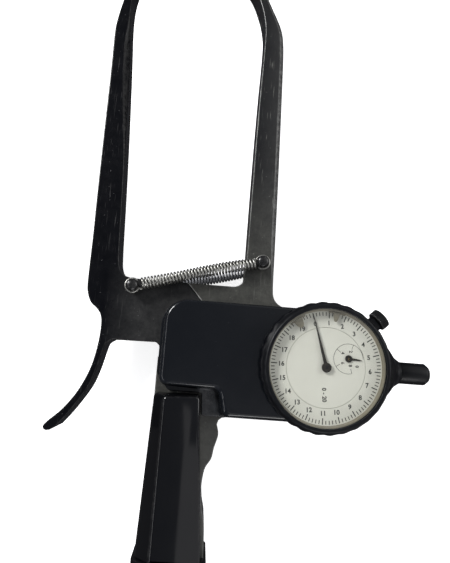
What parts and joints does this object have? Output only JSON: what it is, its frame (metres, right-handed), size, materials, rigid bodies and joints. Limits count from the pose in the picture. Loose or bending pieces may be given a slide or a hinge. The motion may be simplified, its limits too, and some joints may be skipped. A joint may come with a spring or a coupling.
{
  "type": "skinfold caliper",
  "caption": "Spring-loaded skinfold caliper with two curved arms, a finger lever, a flat-sided handle and a dial gauge whose pointer follows the jaw opening.",
  "frame": {"origin": "On the axis of the main pivot, in the plane that the caliper lies on (the flat back of the rear cover).", "axes": "+Y runs up the arms to the jaws, +X along the gauge stem away from the pivot, +Z out of the dial face."},
  "size_m": [0.1764, 0.314, 0.045],
  "materials": {
    "arm_paint": "satin black enamel, worn grey on the flats",
    "jaw_steel": "ground",
    "steel": "turned",
    "black_steel": "blackened",
    "spring_steel": "plated wire",
    "bronze": "turned bronze",
    "brass": "cut brass",
    "cover_gloss": "gloss black",
    "grip_gloss": "gloss black",
    "case_paint": "gloss black enamel",
    "dial_enamel": "matt off-white print",
    "pointer_black": "matt black",
    "marker_tan": "matt",
    "crystal_clear": "clear"
  },
  "bodies": {
    "frame": {"fixed_arm": "arm_paint", "fixed_jaw_face": "jaw_steel", "pivot_bolt": "steel", "pivot_washer": "steel", "pivot_nut": "steel", "fixed_spring_post": "black_steel", "front_spring": "spring_steel", "rear_spring": "spring_steel", "front_cover": "cover_gloss", "rear_cover": "cover_gloss", "cover_screws": "black_steel", "front_grip": "grip_gloss", "rear_grip": "grip_gloss", "grip_screws": "black_steel", "end_cap": "grip_gloss", "end_cap_screw": "steel", "stem_clamp": "steel", "stem_clamp_screws": "black_steel", "gauge_case": "case_paint", "gauge_back": "case_paint", "gauge_back_screws": "steel", "gauge_stem": "steel", "dust_cap": "case_paint", "movement_rear_plate": "brass", "movement_front_plate": "brass", "dial_plate": "dial_enamel", "spindle_spring": "spring_steel", "hairspring": "spring_steel"},
    "moving_lever": {"moving_arm": "arm_paint", "moving_jaw_face": "jaw_steel", "pivot_bush": "bronze", "gauge_cam": "steel", "cam_screws": "black_steel", "moving_spring_post": "black_steel"},
    "gauge_spindle": {"spindle": "steel", "contact_tip": "steel"},
    "main_hand": {"centre_pinion": "brass", "main_pointer": "pointer_black"},
    "counter_hand": {"counter_gear": "brass", "counter_pointer": "pointer_black"},
    "hairspring_wheel": {"hairspring_gear": "brass"},
    "bezel_ring": {"bezel": "case_paint", "crystal": "crystal_clear", "scale_ring": "dial_enamel"},
    "low_marker": {"low_limit_marker": "marker_tan"},
    "high_marker": {"high_limit_marker": "marker_tan"},
    "clamp_knob": {"bezel_clamp_screw": "case_paint"}
  },
  "joints": [
    {"name": "arm_pivot", "type": "hinge", "parent": "frame", "child": "moving_lever", "pos_m": [0, 0, 0.0184], "axis": [0, 0, 1], "range_deg": [0, 23.07], "stiffness_Nm_per_rad": 1.6, "springref_deg": -63.03, "deforming": ["front_spring", "rear_spring"]},
    {"name": "spindle_slide", "type": "slide", "parent": "frame", "child": "gauge_spindle", "axis": [1, 0, 0], "range_m": [0, 0.00405], "deforming": ["spindle_spring"]},
    {"name": "main_hand_spin", "type": "hinge", "parent": "frame", "child": "main_hand", "pos_m": [0.0638, -0.01, 0.04], "axis": [0, 0, 1], "range_deg": [-1460, 5]},
    {"name": "counter_hand_spin", "type": "hinge", "parent": "frame", "child": "counter_hand", "pos_m": [0.07361, -0.00549, 0.04], "axis": [0, 0, 1], "range_deg": [-2, 293]},
    {"name": "hairspring_wheel_spin", "type": "hinge", "parent": "frame", "child": "hairspring_wheel", "pos_m": [0.05399, -0.00549, 0.034], "axis": [0, 0, 1], "range_deg": [-2, 293], "deforming": ["hairspring"]},
    {"name": "bezel_turn", "type": "hinge", "parent": "frame", "child": "bezel_ring", "pos_m": [0.0638, -0.01, 0.04], "axis": [0, 0, 1], "continuous": true},
    {"name": "low_marker_turn", "type": "hinge", "parent": "bezel_ring", "child": "low_marker", "pos_m": [0.0638, -0.01, 0.0421], "axis": [0, 0, 1], "range_deg": [-12, 75]},
    {"name": "high_marker_turn", "type": "hinge", "parent": "bezel_ring", "child": "high_marker", "pos_m": [0.0638, -0.01, 0.0421], "axis": [0, 0, 1], "range_deg": [-75, 12]},
    {"name": "clamp_knob_turn", "type": "hinge", "parent": "frame", "child": "clamp_knob", "pos_m": [0.0638, -0.01, 0.0338], "axis": [0.7325, 0.6807, 0], "range_deg": [-90, 180]}
  ],
  "couplings": [
    {"joint": "spindle_slide", "follows": "arm_pivot", "m_per_rad": 0.01},
    {"joint": "main_hand_spin", "follows": "arm_pivot", "ratio": -62.832},
    {"joint": "counter_hand_spin", "follows": "arm_pivot", "ratio": 12.566},
    {"joint": "hairspring_wheel_spin", "follows": "arm_pivot", "ratio": 12.566}
  ]
}
